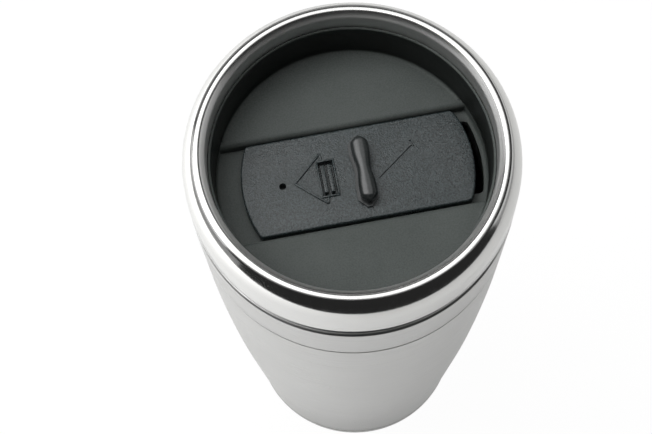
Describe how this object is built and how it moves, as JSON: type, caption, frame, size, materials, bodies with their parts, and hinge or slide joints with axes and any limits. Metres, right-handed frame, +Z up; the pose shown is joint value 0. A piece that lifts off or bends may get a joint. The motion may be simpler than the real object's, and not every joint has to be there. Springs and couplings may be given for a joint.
{
  "type": "insulated travel mug",
  "caption": "Tapered double-walled steel travel mug with a polished drinking collar and a press-in lid whose thumb slider opens a drink slot.",
  "frame": {"origin": "centre of the resting face, on the mug's axis", "axes": "+Z up along the mug's axis; the lid's slider runs along X with the drink slot towards +X"},
  "size_m": [0.0842, 0.0842, 0.174],
  "materials": {
    "brushed_steel": "fine horizontal brushing",
    "polished_steel": "polished",
    "liner_steel": "satin",
    "black_rubber": "matt",
    "foam": "closed-cell foam",
    "lid_plastic": "fine matt grain",
    "slider_plastic": "fine spark-eroded grain",
    "gloss_black": "gloss",
    "silicone": "smooth silicone"
  },
  "bodies": {
    "mug": {"outer_shell": "brushed_steel", "rim_collar": "polished_steel", "inner_liner": "liner_steel", "seam_ring": "black_rubber", "insulation_sleeve": "foam", "base_cap": "brushed_steel", "base_pad": "black_rubber"},
    "lid": {"lid_body": "lid_plastic", "lid_gasket": "silicone"},
    "slider": {"slider_plate": "slider_plastic", "thumb_tab": "gloss_black", "slot_seal": "silicone", "vent_seal": "silicone", "slider_retainer": "slider_plastic"}
  },
  "joints": [
    {"name": "lid_lift", "type": "slide", "parent": "mug", "child": "lid", "axis": [0, 0, 1], "range_m": [0, 0.034]},
    {"name": "slider_travel", "type": "slide", "parent": "lid", "child": "slider", "axis": [1, 0, 0], "range_m": [-0.0052, 0.0023]}
  ]
}
